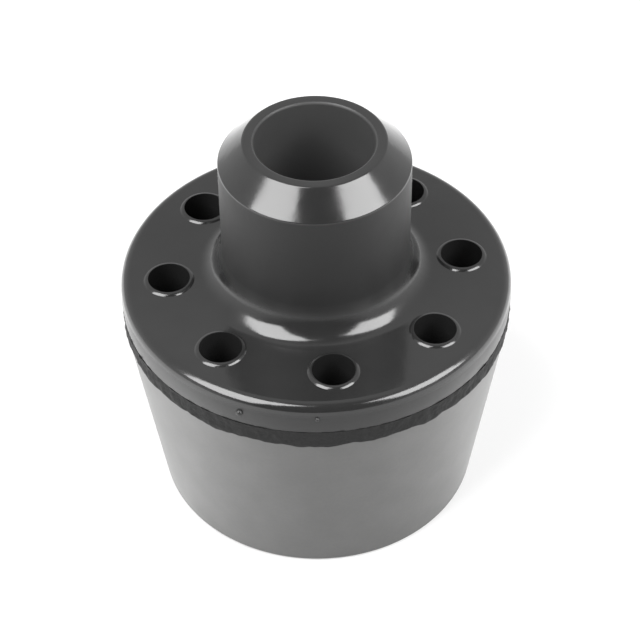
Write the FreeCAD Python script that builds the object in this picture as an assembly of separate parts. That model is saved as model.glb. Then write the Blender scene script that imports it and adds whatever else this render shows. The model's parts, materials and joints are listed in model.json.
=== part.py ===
import FreeCAD, Part
import math
import os

# Radiator mount: a rubber bush moulded into a tapered steel sleeve.
# A spigot on the radiator goes down the bore, the frame of the radiator rests on
# the flange round the neck, and the sleeve wedges into a tapered seat.
# Sizes are in millimetres. Both pieces are round about Z, and the mount stands
# on the lower edge of the sleeve at z = 0.

# Steel sleeve: a cone that opens upwards
sleeve_height = 24.0
sleeve_foot_radius = 18.9
sleeve_rim_radius = 22.3
sleeve_wall = 1.6
sleeve_foot_rounding = 0.8
sleeve_foot_inner_rounding = 0.2

# Rubber below the flange
underside_recess = 1.5

# Rubber flange, with a shallow groove between it and the lip on the sleeve
flange_thickness = 5.75
flange_overhang = 0.2
flange_edge_rounding = 1.2
groove_height = 2.0
groove_depth = 0.35
groove_rounding = 0.5
lip_height = 0.6
lip_rounding = 0.2

# Rubber neck, with a chamfered shoulder below the mouth of the bore
neck_radius = 10.7
neck_height = 18.65
neck_fillet = 3.0
shoulder_height = 2.8
shoulder_rounding = 0.25
mouth_land = 1.25
mouth_rounding = 0.35

# Bore for the spigot
bore_radius = 6.65

# Blind core holes that soften the rubber, evenly spaced in the flange, the first on +X.
# A hole fills the land between its web to the neck's fillet and its web to the sleeve.
core_hole_count = 8
core_hole_depth = 12.0
core_hole_neck_web = 0.8
core_hole_sleeve_web = 0.5
core_hole_mouth_rounding = 0.2
core_hole_floor_rounding = 0.6

# Places that follow from the sizes above
flange_radius = sleeve_rim_radius + flange_overhang
flange_top = sleeve_height + flange_thickness
lip_top = sleeve_height + lip_height
groove_top = sleeve_height + groove_height
neck_top = flange_top + neck_height
shoulder_foot = neck_top - shoulder_height
mouth_radius = bore_radius + mouth_land
core_hole_floor = flange_top - core_hole_depth

AXIS_FOOT = FreeCAD.Vector(0, 0, 0)
AXIS_UP = FreeCAD.Vector(0, 0, 1)

# A rounding takes at most this share of a straight side next to its corner
ROUNDING_REACH = 0.48

# Two lengths closer than this are the same
SAME_PLACE = 0.001


def sleeve_outer_radius(height):
    """Outside radius of the sleeve's cone at a height."""
    growth = (sleeve_rim_radius - sleeve_foot_radius) / sleeve_height
    return sleeve_foot_radius + growth * height


def sleeve_bore_radius(height):
    """Inside radius of the sleeve, with the wall measured square to the cone."""
    taper = math.atan2(sleeve_rim_radius - sleeve_foot_radius, sleeve_height)
    return sleeve_outer_radius(height) - sleeve_wall / math.cos(taper)


def corner_arc(before, corner, after, rounding):
    """Start, middle and end of the arc that rounds one corner of an outline."""
    back = (before - corner).normalize()
    onward = (after - corner).normalize()
    half_angle = back.getAngle(onward) / 2
    shorter = min((before - corner).Length, (after - corner).Length)
    reach = min(rounding / math.tan(half_angle), ROUNDING_REACH * shorter)
    radius = reach * math.tan(half_angle)
    inward = (back + onward).normalize()
    middle = corner + inward * (radius / math.sin(half_angle) - radius)
    return corner + back * reach, middle, corner + onward * reach


def turned(corners):
    """Solid of revolution about Z from a closed outline of (radius, height, rounding)."""
    points = [FreeCAD.Vector(radius, 0, height) for radius, height, _ in corners]
    turns = []
    for index, (_, _, rounding) in enumerate(corners):
        corner = points[index]
        if rounding > 0:
            after = points[(index + 1) % len(points)]
            turns.append(corner_arc(points[index - 1], corner, after, rounding))
        else:
            turns.append((corner, corner, corner))
    edges = []
    for (start, middle, end), (next_start, _, _) in zip(turns, turns[1:] + turns[:1]):
        if start != end:
            edges.append(Part.Arc(start, middle, end).toShape())
        edges.append(Part.LineSegment(end, next_start).toShape())
    return Part.Face(Part.Wire(edges)).revolve(AXIS_FOOT, AXIS_UP, 360)


def make_sleeve():
    """Tapered steel sleeve with a rounded lower edge."""
    return turned([
        (sleeve_bore_radius(0), 0, sleeve_foot_inner_rounding),
        (sleeve_foot_radius, 0, sleeve_foot_rounding),
        (sleeve_rim_radius, sleeve_height, 0),
        (sleeve_bore_radius(sleeve_height), sleeve_height, 0),
    ])


def core_hole_land():
    """Inner and outer limit of the core holes, as distances from the axis."""
    inner = neck_radius + neck_fillet + core_hole_neck_web
    outer = sleeve_bore_radius(core_hole_floor) - core_hole_sleeve_web
    return inner, outer


def make_core_hole(hole_radius):
    """Cutter for one core hole, on the axis and reaching out above the flange."""
    above = flange_top + hole_radius
    return turned([
        (0, core_hole_floor, 0),
        (hole_radius, core_hole_floor, core_hole_floor_rounding),
        (hole_radius, above, 0),
        (0, above, 0),
    ])


def is_core_hole_mouth(edge, hole_radius):
    """True for the sharp circle where a core hole opens into the flange's top."""
    if not isinstance(edge.Curve, Part.Circle):
        return False
    same_size = math.isclose(edge.Curve.Radius, hole_radius, abs_tol=SAME_PLACE)
    same_height = math.isclose(edge.Curve.Center.z, flange_top, abs_tol=SAME_PLACE)
    return same_size and same_height


def with_core_holes(bush):
    """The bush with its ring of core holes and their rounded mouths."""
    inner, outer = core_hole_land()
    hole_radius = (outer - inner) / 2
    hole = make_core_hole(hole_radius)
    hole.translate(FreeCAD.Vector((outer + inner) / 2, 0, 0))
    for index in range(core_hole_count):
        cutter = hole.copy()
        cutter.rotate(AXIS_FOOT, AXIS_UP, index * 360 / core_hole_count)
        bush = bush.cut(cutter)
    mouths = [edge for edge in bush.Edges if is_core_hole_mouth(edge, hole_radius)]
    return bush.makeFillet(core_hole_mouth_rounding, mouths)


def make_rubber():
    """Rubber bush: core in the sleeve, flange over its rim, neck, bore and core holes."""
    bush = turned([
        (bore_radius, underside_recess, 0),
        (sleeve_bore_radius(underside_recess), underside_recess, 0),
        (sleeve_bore_radius(sleeve_height), sleeve_height, 0),
        (flange_radius, sleeve_height, lip_rounding),
        (flange_radius, lip_top, lip_rounding),
        (flange_radius - groove_depth, (lip_top + groove_top) / 2, groove_rounding),
        (flange_radius, groove_top, groove_rounding),
        (flange_radius, flange_top, flange_edge_rounding),
        (neck_radius, flange_top, neck_fillet),
        (neck_radius, shoulder_foot, shoulder_rounding),
        (mouth_radius, neck_top, mouth_rounding),
        (bore_radius, neck_top, mouth_rounding),
    ])
    return with_core_holes(bush)


os.makedirs("parts", exist_ok=True)
make_sleeve().exportStep("parts/outer_sleeve.step")
make_rubber().exportStep("parts/rubber_bush.step")
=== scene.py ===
import json
import math

import bmesh
import bpy
from mathutils import Matrix, Vector, noise


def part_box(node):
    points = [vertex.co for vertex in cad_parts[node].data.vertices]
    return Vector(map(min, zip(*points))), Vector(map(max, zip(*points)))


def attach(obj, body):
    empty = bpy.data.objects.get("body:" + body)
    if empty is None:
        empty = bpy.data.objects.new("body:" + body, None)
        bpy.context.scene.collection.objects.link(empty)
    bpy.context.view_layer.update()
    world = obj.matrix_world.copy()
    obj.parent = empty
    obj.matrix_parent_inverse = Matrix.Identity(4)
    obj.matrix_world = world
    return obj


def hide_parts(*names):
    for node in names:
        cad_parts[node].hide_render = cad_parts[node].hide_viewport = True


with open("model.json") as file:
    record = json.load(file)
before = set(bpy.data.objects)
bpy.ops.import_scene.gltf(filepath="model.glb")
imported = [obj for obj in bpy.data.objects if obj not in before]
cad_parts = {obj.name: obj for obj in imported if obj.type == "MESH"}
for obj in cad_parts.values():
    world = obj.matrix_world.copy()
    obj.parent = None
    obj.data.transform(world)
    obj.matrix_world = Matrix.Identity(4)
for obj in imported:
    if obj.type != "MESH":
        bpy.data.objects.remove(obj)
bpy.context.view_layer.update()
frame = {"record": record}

MM = 0.001

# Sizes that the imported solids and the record's mounts give, in metres
mounts = {mount["name"]: mount for mount in frame["record"]["mounts"]}
sleeve_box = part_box("outer_sleeve")
bush_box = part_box("rubber_bush")
SLEEVE_TOP = sleeve_box[1].z
SLEEVE_RIM_RADIUS = sleeve_box[1].x
UNDERSIDE = bush_box[0].z
NECK_TOP = bush_box[1].z
FLANGE_RADIUS = bush_box[1].x
FLANGE_TOP = mounts["flange_top"]["pos_m"][2]
NECK_RADIUS = mounts["neck"]["dims"]["r_mm"] * MM
BORE_RADIUS = mounts["bore"]["dims"]["r_mm"] * MM

# The sleeve's other sizes
SLEEVE_FOOT_RADIUS = 18.9 * MM
SLEEVE_WALL = 1.6 * MM
SLEEVE_FOOT_ROUNDING = 0.8 * MM
SLEEVE_FOOT_INNER_ROUNDING = 0.2 * MM

# The flange's edge and slightly bulged side, and the groove between it and the sleeve
FLANGE_EDGE_ROUNDING = 1.2 * MM
SIDE_BULGE = 0.12 * MM
SIDE_MIDDLE = SLEEVE_TOP + 3.4 * MM
SIDE_ROUNDING = 13.0 * MM
GROOVE_TOP = SLEEVE_TOP + 2.0 * MM
GROOVE_DEPTH = 0.35 * MM
GROOVE_ROUNDING = 0.3 * MM

# The neck's fillet, a little taller than wide, its shoulder and its mouth
NECK_FILLET = 3.0 * MM
NECK_FILLET_HEIGHT = 4.2 * MM
NECK_FILLET_STEPS = 16
SHOULDER_FOOT = NECK_TOP - 2.8 * MM
SHOULDER_ROUNDING = 0.25 * MM
MOUTH_RADIUS = BORE_RADIUS + 1.25 * MM
MOUTH_ROUNDING = 0.35 * MM

# The core holes, each with a low rounded lip that the mould leaves round its mouth, and
# a narrow flat ring of mesh round the lip
CORE_HOLES = 8
CORE_HOLE_FLOOR = FLANGE_TOP - 12.0 * MM
CORE_HOLE_NECK_WEB = 0.8 * MM
CORE_HOLE_SLEEVE_WEB = 0.5 * MM
CORE_HOLE_FLOOR_ROUNDING = 0.6 * MM
CORE_LIP_HEIGHT = 0.24 * MM
CORE_LIP_WIDTH = 0.5 * MM
CORE_LIP_FLANK = 0.26 * MM
CORE_LIP_ROUNDING = 0.56 * MM
CORE_HOLE_RING = 0.1 * MM

# Rough rubber flash that fills the groove and creeps down over the sleeve's rim. The bends
# of its lower edge are counts to a radian, and the lumps of its side are sizes.
FLASH_TOP = GROOVE_TOP - 0.3 * GROOVE_DEPTH
FLASH_DEPTH = 0.3 * MM
FLASH_THICKNESS = 0.1 * MM
FLASH_FOOT_THICKNESS = 0.06 * MM
FLASH_WANDER = 0.45 * MM
FLASH_BENDS = (8, 21)
FLASH_ROUGHNESS = 0.13 * MM
FLASH_LUMPS = (1.1 * MM, 0.45 * MM)
FLASH_ROWS = 8

# Moulding nibs on the flange's side: angle from the photo's front, height and radius
NIBS = ((-22.0, FLANGE_TOP - 2.1 * MM, 0.4 * MM), (0.0, FLANGE_TOP - 1.6 * MM, 0.25 * MM))

# Steps round the object, round a core hole and round a corner of an outline
TURN_STEPS = 256
HOLE_STEPS = 48
ROUNDING_STEPS = 8

# An edge with a larger angle than this stays crisp
SHARP_ANGLE = math.radians(40)

# Two lengths closer than these are the same
SAME_PLACE = 0.001 * MM
SAME_POINT = 0.0005 * MM

# The camera, from the photo's outlines. Azimuth 0 looks along +Y, and the photo's
# front lies a little to one side of a core hole.
FRONT_AZIMUTH = -6.2
CAMERA_ELEVATION = 43.65
CAMERA_ROLL = 0.59
CAMERA_LENS = 112.6
AIM_HEIGHT = 29.25 * MM
AIM_RIGHT = -0.45 * MM
AIM_DOWN = -4.9 * MM
CAMERA_DISTANCE = 230.3 * MM

# Softboxes on each side of the camera, the left one taller: azimuth from the photo's
# front, elevation, width and height
SOFTBOXES = {
    "left_softbox": (-55, 50, 0.4, 0.52),
    "right_softbox": (64, 41, 0.4, 0.38),
}
SOFTBOX_DISTANCE = 0.6
SOFTBOX_BRIGHTNESS = 8.4

# The table top, and the light that it gives off: to the camera, in all reflections, and as
# a glow beside and behind the object. The dark side is an angle from the photo's front.
TABLE_REACH = 3.0
TABLE_SEEN = 0.45
TABLE_MIRRORED = 0.05
TABLE_GLOW = 1.05
TABLE_DARK_SIDE = 9

# The upright walls of the rubber: added roughness, weaker gloss, and where they are dull,
# as (height, dullness) and (radius, dullness)
WALL_DULLNESS = 0.4
WALL_GLOSS = 0.24
DULL_HEIGHTS = (
    (0.0, 0.0), (SLEEVE_TOP, 0.0), (SLEEVE_TOP + 0.2 * MM, 0.5),
    (FLANGE_TOP - 1.5 * MM, 0.5), (FLANGE_TOP - 1.0 * MM, 0.0),
    (FLANGE_TOP + 1.6 * MM, 0.0), (FLANGE_TOP + 4.0 * MM, 1.0),
    (SHOULDER_FOOT - 0.2 * MM, 1.0), (SHOULDER_FOOT, 0.0))
DULL_RADII = (
    (0.0, 0.0), (BORE_RADIUS + 0.05 * MM, 0.0), (BORE_RADIUS + 0.3 * MM, 1.0),
    (NECK_RADIUS + NECK_FILLET, 1.0), (NECK_RADIUS + NECK_FILLET + 0.1 * MM, 0.0),
    (FLANGE_RADIUS - 0.6 * MM, 0.0), (FLANGE_RADIUS - 0.5 * MM, 1.0))


def linear(hex_colour):
    """Linear RGBA from an sRGB hex value such as 1F1F1F."""
    channels = [int(hex_colour[i:i + 2], 16) / 255 for i in (0, 2, 4)]
    flat = [c / 12.92 if c <= 0.04045 else ((c + 0.055) / 1.055) ** 2.4 for c in channels]
    return (*flat, 1.0)


def add(tree, kind, inputs=None, **settings):
    """Adds a node: settings are its fields, inputs are values or sockets for its own sockets."""
    made = tree.nodes.new(kind)
    for name, value in settings.items():
        setattr(made, name, value)
    for name, value in (inputs or {}).items():
        if isinstance(value, bpy.types.NodeSocket):
            tree.links.new(value, made.inputs[name])
        else:
            made.inputs[name].default_value = value
    return made


def new_material(name):
    """An empty node material and its tree."""
    material = bpy.data.materials.new(name)
    material.use_nodes = True
    material.node_tree.nodes.clear()
    return material, material.node_tree


def per(size):
    """Texture scale at which one feature of a noise pattern is about this size."""
    return 1.0 / size


def ramp(tree, length, span, stops):
    """Values along a length from 0 to the span, through (length, value) stops."""
    share = add(tree, "ShaderNodeMath", {0: length, 1: span}, operation="DIVIDE")
    made = add(tree, "ShaderNodeValToRGB", {"Fac": share.outputs["Value"]})
    elements = made.color_ramp.elements
    for index, (stop, value) in enumerate(stops):
        if index < len(elements):
            elements[index].position = stop / span
        else:
            elements.new(stop / span)
        elements[index].color = (value, value, value, 1.0)
    return made


def polished_mould_rubber():
    """Black rubber pressed in a polished mould: it mirrors the lamps like wet paint, its
    wavy skin makes the edges of the reflections wander, its upright walls are duller, and
    the bore is painted a lighter grey: painted light standing in for light that hardly reaches into it."""
    material, tree = new_material("polished_mould_rubber")
    place = add(tree, "ShaderNodeTexCoord").outputs["Object"]
    cloud = add(tree, "ShaderNodeTexNoise", {"Vector": place, "Scale": per(5 * MM), "Detail": 3.0})
    grain = add(tree, "ShaderNodeTexNoise", {"Vector": place, "Scale": per(0.3 * MM), "Detail": 2.0})
    wave = add(tree, "ShaderNodeTexNoise", {"Vector": place, "Scale": per(2.2 * MM), "Detail": 1.5})
    colour = add(tree, "ShaderNodeMix", {
        "Factor": cloud.outputs["Fac"], "A": linear("1F1F1F"), "B": linear("252525")}, data_type="RGBA")
    haze = add(tree, "ShaderNodeMapRange", {
        "Value": cloud.outputs["Fac"], "From Min": 0.3, "From Max": 0.7, "To Min": 0.11, "To Max": 0.19})
    parts = add(tree, "ShaderNodeSeparateXYZ", {"Vector": place})
    level = add(tree, "ShaderNodeCombineXYZ", {"X": parts.outputs["X"], "Y": parts.outputs["Y"]})
    radius = add(tree, "ShaderNodeVectorMath", {0: level.outputs["Vector"]}, operation="LENGTH")
    outside = add(tree, "ShaderNodeMapRange", {
        "Value": radius.outputs["Value"], "From Min": BORE_RADIUS + 0.05 * MM,
        "From Max": BORE_RADIUS + 0.3 * MM})
    # Painted light: inside the bore the rubber is coloured a lighter grey (404040), standing in for light
    # that hardly reaches into it
    bore_painted_light = add(tree, "ShaderNodeMix", {
        "Factor": outside.outputs["Result"], "A": linear("404040"), "B": colour.outputs["Result"]},
        data_type="RGBA")
    by_height = ramp(tree, parts.outputs["Z"], NECK_TOP, DULL_HEIGHTS)
    by_radius = ramp(tree, radius.outputs["Value"], 1.1 * FLANGE_RADIUS, DULL_RADII)
    upright = add(tree, "ShaderNodeMath", {
        0: by_height.outputs["Color"], 1: by_radius.outputs["Color"]}, operation="MULTIPLY")
    inside = add(tree, "ShaderNodeMath", {0: 1.0, 1: outside.outputs["Result"]}, operation="SUBTRACT")
    wall = add(tree, "ShaderNodeMath", {
        0: upright.outputs["Value"], 1: inside.outputs["Value"]}, operation="MAXIMUM")
    roughness = add(tree, "ShaderNodeMath", {
        0: wall.outputs["Value"], 1: WALL_DULLNESS, 2: haze.outputs["Result"]},
        operation="MULTIPLY_ADD")
    gloss = add(tree, "ShaderNodeMapRange", {
        "Value": wall.outputs["Value"], "To Min": 0.5, "To Max": WALL_GLOSS})
    waviness = add(tree, "ShaderNodeBump", {
        "Height": wave.outputs["Fac"], "Strength": 1.0, "Distance": 0.025 * MM})
    skin = add(tree, "ShaderNodeBump", {
        "Height": grain.outputs["Fac"], "Strength": 1.0, "Distance": 0.003 * MM,
        "Normal": waviness.outputs["Normal"]})
    shader = add(tree, "ShaderNodeBsdfPrincipled", {
        "Base Color": bore_painted_light.outputs["Result"], "Roughness": roughness.outputs["Value"], "IOR": 1.65,
        "Specular IOR Level": gloss.outputs["Result"], "Normal": skin.outputs["Normal"]})
    add(tree, "ShaderNodeOutputMaterial", {"Surface": shader.outputs["BSDF"]})
    return material


def torn_rubber():
    """The same black rubber where it squeezed out of the mould's joint: torn, dull and
    crumbly, so it takes no highlight."""
    material, tree = new_material("torn_rubber")
    place = add(tree, "ShaderNodeTexCoord").outputs["Object"]
    crumbs = add(tree, "ShaderNodeTexNoise", {"Vector": place, "Scale": per(0.35 * MM), "Detail": 4.0})
    colour = add(tree, "ShaderNodeMix", {
        "Factor": crumbs.outputs["Fac"], "A": linear("1C1C1C"), "B": linear("2A2A2A")}, data_type="RGBA")
    relief = add(tree, "ShaderNodeBump", {
        "Height": crumbs.outputs["Fac"], "Strength": 1.0, "Distance": 0.08 * MM})
    shader = add(tree, "ShaderNodeBsdfPrincipled", {
        "Base Color": colour.outputs["Result"], "Roughness": 0.7, "IOR": 1.3,
        "Normal": relief.outputs["Normal"]})
    add(tree, "ShaderNodeOutputMaterial", {"Surface": shader.outputs["BSDF"]})
    return material


def coated_steel():
    """Pressed steel with a dull zinc-rich coat: fine grain, soft blotches where the coat is
    thicker, and a low sheen that lights up towards the sides."""
    material, tree = new_material("coated_steel")
    place = add(tree, "ShaderNodeTexCoord").outputs["Object"]
    blotch = add(tree, "ShaderNodeTexNoise", {"Vector": place, "Scale": per(4 * MM), "Detail": 4.0})
    grain = add(tree, "ShaderNodeTexNoise", {"Vector": place, "Scale": per(0.4 * MM), "Detail": 3.0})
    mottle = add(tree, "ShaderNodeMix", {
        "Factor": 0.3, "A": blotch.outputs["Fac"], "B": grain.outputs["Fac"]}, data_type="FLOAT")
    spread = add(tree, "ShaderNodeMapRange", {
        "Value": mottle.outputs["Result"], "From Min": 0.35, "From Max": 0.65})
    colour = add(tree, "ShaderNodeMix", {
        "Factor": spread.outputs["Result"], "A": linear("444443"), "B": linear("4E4E4D")}, data_type="RGBA")
    relief = add(tree, "ShaderNodeBump", {
        "Height": grain.outputs["Fac"], "Strength": 1.0, "Distance": 0.006 * MM})
    shader = add(tree, "ShaderNodeBsdfPrincipled", {
        "Base Color": colour.outputs["Result"], "Roughness": 0.42, "IOR": 1.9,
        "Normal": relief.outputs["Normal"]})
    add(tree, "ShaderNodeOutputMaterial", {"Surface": shader.outputs["BSDF"]})
    return material


def outline(bm, corners, closed):
    """Line in the XZ plane from (radius, height, rounding), its corners rounded."""
    places = [Vector((radius, 0, height)) for radius, height, _ in corners]
    points = [bm.verts.new(place) for place in places]
    for index in range(0 if closed else 1, len(points)):
        bm.edges.new((points[index - 1], points[index]))
    for index, (_, _, rounding) in enumerate(corners):
        if rounding > 0:
            before = places[index - 1] - places[index]
            after = places[(index + 1) % len(places)] - places[index]
            reach = rounding / math.tan(before.angle(after) / 2)
            bmesh.ops.bevel(bm, geom=[points[index]], offset=reach, offset_type="OFFSET",
                            segments=ROUNDING_STEPS, profile=0.5, affect="VERTICES", material=-1)


def spun(corners, steps, closed=True):
    """Bmesh of a surface of revolution about Z from an outline."""
    bm = bmesh.new()
    outline(bm, corners, closed)
    bmesh.ops.spin(bm, geom=bm.verts[:] + bm.edges[:], cent=(0, 0, 0), axis=(0, 0, 1),
                   angle=math.tau, steps=steps, use_merge=True, use_duplicate=False)
    bmesh.ops.remove_doubles(bm, verts=bm.verts, dist=SAME_POINT)
    return bm


def piece_from(bm, name):
    """An object at the origin with the bmesh's shape, its crisp corners marked sharp."""
    bm.normal_update()
    for edge in bm.edges:
        if edge.is_manifold and edge.calc_face_angle() > SHARP_ANGLE:
            edge.smooth = False
    mesh = bpy.data.meshes.new(name)
    bm.to_mesh(mesh)
    bm.free()
    piece = bpy.data.objects.new(name, mesh)
    bpy.context.scene.collection.objects.link(piece)
    return piece


def finish_surface(piece, material):
    """Smooth shading that keeps flats flat, the material, and the place in the frame."""
    for face in piece.data.polygons:
        face.use_smooth = True
    piece.data.materials.clear()
    piece.data.materials.append(material)
    weighted = piece.modifiers.new("keep_flats", "WEIGHTED_NORMAL")
    weighted.keep_sharp = True
    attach(piece, "root")


def sleeve_outer_radius(height):
    """Outside radius of the sleeve's cone at a height."""
    growth = (SLEEVE_RIM_RADIUS - SLEEVE_FOOT_RADIUS) / SLEEVE_TOP
    return SLEEVE_FOOT_RADIUS + growth * height


def sleeve_bore_radius(height):
    """Inside radius of the sleeve, with the wall measured square to the cone."""
    taper = math.atan2(SLEEVE_RIM_RADIUS - SLEEVE_FOOT_RADIUS, SLEEVE_TOP)
    return sleeve_outer_radius(height) - SLEEVE_WALL / math.cos(taper)


def make_sleeve(steel):
    """Tapered sleeve with its rounded foot."""
    bm = spun([
        (sleeve_bore_radius(0), 0, SLEEVE_FOOT_INNER_ROUNDING),
        (SLEEVE_FOOT_RADIUS, 0, SLEEVE_FOOT_ROUNDING),
        (SLEEVE_RIM_RADIUS, SLEEVE_TOP, 0),
        (sleeve_bore_radius(SLEEVE_TOP), SLEEVE_TOP, 0),
    ], TURN_STEPS)
    bmesh.ops.recalc_face_normals(bm, faces=bm.faces)
    sleeve = piece_from(bm, "pressed_sleeve")
    finish_surface(sleeve, steel)
    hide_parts("outer_sleeve")


def core_hole_surface(hole_radius):
    """One core hole from its floor up over the lip and down to the flange, on the axis."""
    crest = FLANGE_TOP + CORE_LIP_HEIGHT
    lip_radius = hole_radius + CORE_LIP_WIDTH
    return spun([
        (0, CORE_HOLE_FLOOR, 0),
        (hole_radius, CORE_HOLE_FLOOR, CORE_HOLE_FLOOR_ROUNDING),
        (hole_radius, crest, 0),
        (lip_radius - CORE_LIP_FLANK, crest, CORE_LIP_ROUNDING),
        (lip_radius, FLANGE_TOP, 0),
        (lip_radius + CORE_HOLE_RING, FLANGE_TOP, 0),
    ], HOLE_STEPS, closed=False)


def add_core_holes(bm):
    """Opens the flat of the flange's top and fills it again round the core holes."""
    flat = [face for face in bm.faces
            if all(abs(vert.co.z - FLANGE_TOP) < SAME_PLACE for vert in face.verts)]
    bmesh.ops.delete(bm, geom=flat, context="FACES_ONLY")
    inner = NECK_RADIUS + NECK_FILLET + CORE_HOLE_NECK_WEB
    outer = sleeve_bore_radius(CORE_HOLE_FLOOR) - CORE_HOLE_SLEEVE_WEB
    hole = core_hole_surface((outer - inner) / 2)
    for index in range(CORE_HOLES):
        turn = Matrix.Rotation(math.tau * index / CORE_HOLES, 4, "Z")
        place = turn @ Matrix.Translation(((outer + inner) / 2, 0, 0))
        mesh = bpy.data.meshes.new("core_hole")
        hole.to_mesh(mesh)
        mesh.transform(place)
        bm.from_mesh(mesh)
        bpy.data.meshes.remove(mesh)
    hole.free()
    bmesh.ops.delete(bm, geom=[edge for edge in bm.edges if not edge.link_faces], context="EDGES")
    rims = [edge for edge in bm.edges if edge.is_boundary]
    bmesh.ops.triangle_fill(bm, edges=rims, use_beauty=True, use_dissolve=False, normal=(0, 0, 1))
    bmesh.ops.recalc_face_normals(bm, faces=bm.faces)


def neck_fillet():
    """Outline of the fillet, a quarter of an ellipse from the flange up to the neck."""
    turns = [math.pi / 2 * (1 - step / NECK_FILLET_STEPS) for step in range(NECK_FILLET_STEPS + 1)]
    return [(NECK_RADIUS + NECK_FILLET * (1 - math.cos(turn)),
             FLANGE_TOP + NECK_FILLET_HEIGHT * (1 - math.sin(turn)), 0) for turn in turns]


def make_bush(rubber):
    """The rubber moulding: core, groove, flange, neck, bore and core holes."""
    bm = spun([
        (BORE_RADIUS, UNDERSIDE, 0),
        (sleeve_bore_radius(UNDERSIDE), UNDERSIDE, 0),
        (sleeve_bore_radius(SLEEVE_TOP), SLEEVE_TOP, 0),
        (FLANGE_RADIUS - GROOVE_DEPTH, SLEEVE_TOP, 0),
        (FLANGE_RADIUS - GROOVE_DEPTH, GROOVE_TOP - GROOVE_DEPTH, GROOVE_ROUNDING / 2),
        (FLANGE_RADIUS - SIDE_BULGE, GROOVE_TOP, GROOVE_ROUNDING),
        (FLANGE_RADIUS, SIDE_MIDDLE, SIDE_ROUNDING),
        (FLANGE_RADIUS - SIDE_BULGE, FLANGE_TOP, FLANGE_EDGE_ROUNDING),
        *neck_fillet(),
        (NECK_RADIUS, SHOULDER_FOOT, SHOULDER_ROUNDING),
        (MOUTH_RADIUS, NECK_TOP, MOUTH_ROUNDING),
        (BORE_RADIUS, NECK_TOP, MOUTH_ROUNDING),
    ], TURN_STEPS)
    add_core_holes(bm)
    bush = piece_from(bm, "moulded_bush")
    finish_surface(bush, rubber)
    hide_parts("rubber_bush")


def make_flash(rubber):
    """Ring of rough flash from the flange's foot down over the sleeve's rim, ragged below."""
    within = FLANGE_RADIUS - GROOVE_DEPTH - FLASH_THICKNESS
    foot = SLEEVE_TOP - FLASH_DEPTH
    step = (FLASH_TOP - SLEEVE_TOP) / FLASH_ROWS
    rows = [FLASH_TOP - step * row for row in range(FLASH_ROWS + 1)]
    bm = spun([
        (within, SLEEVE_TOP, 0),
        (within, FLASH_TOP, 0),
        *[(SLEEVE_RIM_RADIUS + FLASH_THICKNESS, height, 0) for height in rows],
        (sleeve_outer_radius(foot) + FLASH_FOOT_THICKNESS, foot, 0),
        (sleeve_outer_radius(foot) - FLASH_THICKNESS, foot, 0),
        (sleeve_outer_radius(SLEEVE_TOP) - FLASH_THICKNESS, SLEEVE_TOP, 0),
    ], 3 * TURN_STEPS)
    bmesh.ops.recalc_face_normals(bm, faces=bm.faces)
    long_bend, short_bend = FLASH_BENDS
    large_lump, small_lump = FLASH_LUMPS
    for vert in bm.verts:
        across = Vector((vert.co.x, vert.co.y, 0))
        outward = across.normalized()
        if vert.co.z < SLEEVE_TOP - SAME_PLACE:
            drift = noise.noise(outward * long_bend) + 0.4 * noise.noise(outward * short_bend)
            vert.co.z -= FLASH_WANDER * drift
        elif across.length > SLEEVE_RIM_RADIUS:
            lump = noise.noise(vert.co / large_lump) + 0.7 * noise.noise(vert.co / small_lump)
            vert.co += outward * FLASH_ROUGHNESS * lump
    flash = piece_from(bm, "moulding_flash")
    finish_surface(flash, rubber)


def make_nibs(rubber):
    """Small domes on the flange's side where the mould was vented."""
    bm = bmesh.new()
    for angle, height, radius in NIBS:
        outward = front_direction(angle, 0)
        place = Matrix.Translation(outward * FLANGE_RADIUS + Vector((0, 0, height)))
        bmesh.ops.create_uvsphere(bm, u_segments=16, v_segments=10, radius=radius, matrix=place)
    nibs = piece_from(bm, "vent_nibs")
    finish_surface(nibs, rubber)


def make_camera():
    """Camera at the photo's place and angle."""
    azimuth = math.radians(FRONT_AZIMUTH)
    elevation = math.radians(CAMERA_ELEVATION)
    right = Vector((math.cos(azimuth), math.sin(azimuth), 0))
    ahead = Vector((
        -math.sin(azimuth) * math.cos(elevation), math.cos(azimuth) * math.cos(elevation),
        -math.sin(elevation)))
    down = ahead.cross(right)
    roll = Matrix.Rotation(math.radians(CAMERA_ROLL), 3, ahead)
    right = roll @ right
    down = roll @ down
    data = bpy.data.cameras.new("photo_camera")
    data.lens = CAMERA_LENS
    data.clip_start = 0.01
    data.clip_end = 10
    camera = bpy.data.objects.new("photo_camera", data)
    bpy.context.scene.collection.objects.link(camera)
    aim = Vector((0, 0, AIM_HEIGHT))
    place = aim - right * AIM_RIGHT - down * AIM_DOWN - ahead * CAMERA_DISTANCE
    axes = Matrix((right, -down, -ahead)).transposed()
    camera.matrix_world = Matrix.Translation(place) @ axes.to_4x4()
    bpy.context.scene.camera = camera


def front_direction(azimuth, elevation):
    """Direction from the object: azimuth from the photo's front, positive to the right."""
    turn = math.radians(FRONT_AZIMUTH + azimuth)
    rise = math.radians(elevation)
    return Vector((math.sin(turn) * math.cos(rise), -math.cos(turn) * math.cos(rise), math.sin(rise)))


def softbox(name, azimuth, elevation, width, height):
    """Square-cornered studio lamp that faces the object, as bright at any size."""
    data = bpy.data.lights.new(name, "AREA")
    data.shape = "RECTANGLE"
    data.size = width
    data.size_y = height
    data.energy = SOFTBOX_BRIGHTNESS * width * height * math.pi
    lamp = bpy.data.objects.new(name, data)
    bpy.context.scene.collection.objects.link(lamp)
    towards = front_direction(azimuth, elevation)
    lamp.rotation_mode = "QUATERNION"
    lamp.rotation_quaternion = towards.to_track_quat("Z", "Y")
    lamp.location = towards * SOFTBOX_DISTANCE + Vector((0, 0, FLANGE_TOP))


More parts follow.
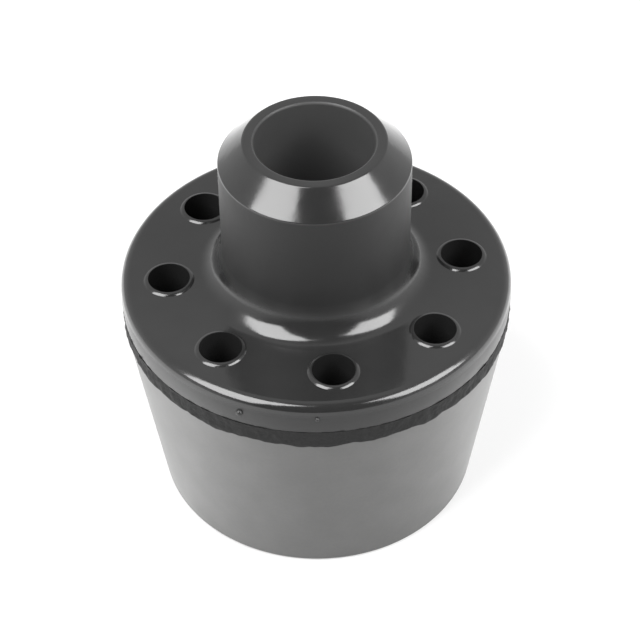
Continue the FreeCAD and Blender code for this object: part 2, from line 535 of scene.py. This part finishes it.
def make_world():
    """White walls under a greyer ceiling, dark behind the camera where the photographer stands."""
    world = bpy.data.worlds.new("studio")
    world.use_nodes = True
    bpy.context.scene.world = world
    tree = world.node_tree
    tree.nodes.clear()
    path = add(tree, "ShaderNodeLightPath")
    direction = add(tree, "ShaderNodeTexCoord").outputs["Generated"]
    front = front_direction(0, 40)
    facing = add(tree, "ShaderNodeVectorMath", {0: direction, 1: tuple(front)}, operation="DOT_PRODUCT")
    walls = add(tree, "ShaderNodeMapRange", {
        "Value": facing.outputs["Value"], "From Min": 0.5, "From Max": 0.8, "To Min": 1.0, "To Max": 0.12})
    height = add(tree, "ShaderNodeSeparateXYZ", {"Vector": direction}).outputs["Z"]
    ceiling = add(tree, "ShaderNodeMapRange", {
        "Value": height, "From Min": 0.1, "From Max": 0.6, "To Min": 0.9, "To Max": 0.6})
    room = add(tree, "ShaderNodeMath", {
        0: walls.outputs["Result"], 1: ceiling.outputs["Result"]}, operation="MULTIPLY")
    strength = add(tree, "ShaderNodeMix", {
        "Factor": path.outputs["Is Camera Ray"], "A": room.outputs["Value"], "B": 1.0}, data_type="FLOAT")
    light = add(tree, "ShaderNodeBackground", {
        "Color": linear("FFFFFF"), "Strength": strength.outputs["Result"]})
    add(tree, "ShaderNodeOutputWorld", {"Surface": light.outputs["Background"]})


def make_floor():
    """Pale lit table top: it runs out to the background and keeps a faint shadow. It glows
    from below beside and behind the object, and not in front of it."""
    bm = bmesh.new()
    bmesh.ops.create_grid(bm, x_segments=1, y_segments=1, size=TABLE_REACH)
    floor = piece_from(bm, "table_top")
    material, tree = new_material("pale_table")
    path = add(tree, "ShaderNodeLightPath")
    mirrored = add(tree, "ShaderNodeMath", {
        0: path.outputs["Is Glossy Ray"], 1: path.outputs["Is Transmission Ray"]}, operation="MAXIMUM")
    place = add(tree, "ShaderNodeTexCoord").outputs["Object"]
    outward = add(tree, "ShaderNodeVectorMath", {0: place}, operation="NORMALIZE")
    frontal = add(tree, "ShaderNodeVectorMath", {
        0: outward.outputs["Vector"], 1: tuple(front_direction(TABLE_DARK_SIDE, 0))},
        operation="DOT_PRODUCT")
    glow = add(tree, "ShaderNodeMapRange", {
        "Value": frontal.outputs["Value"], "From Min": 1.0, "From Max": 0.35, "To Min": 0.0,
        "To Max": TABLE_GLOW})
    glossy = add(tree, "ShaderNodeMath", {
        0: mirrored.outputs["Value"], 1: TABLE_MIRRORED, 2: glow.outputs["Result"]},
        operation="MULTIPLY_ADD")
    lift = add(tree, "ShaderNodeMix", {
        "Factor": path.outputs["Is Camera Ray"], "A": glossy.outputs["Value"], "B": TABLE_SEEN},
        data_type="FLOAT")
    shader = add(tree, "ShaderNodeBsdfPrincipled", {
        "Base Color": linear("B4B4B4"), "Roughness": 0.9, "Emission Color": linear("FFFFFF"),
        "Emission Strength": lift.outputs["Result"]})
    add(tree, "ShaderNodeOutputMaterial", {"Surface": shader.outputs["BSDF"]})
    floor.data.materials.append(material)


rubber = polished_mould_rubber()
make_sleeve(coated_steel())
make_bush(rubber)
make_flash(torn_rubber())
make_nibs(rubber)
make_floor()
for name, place in SOFTBOXES.items():
    softbox(name, *place)
make_world()
make_camera()
bpy.context.scene.view_settings.view_transform = "Standard"
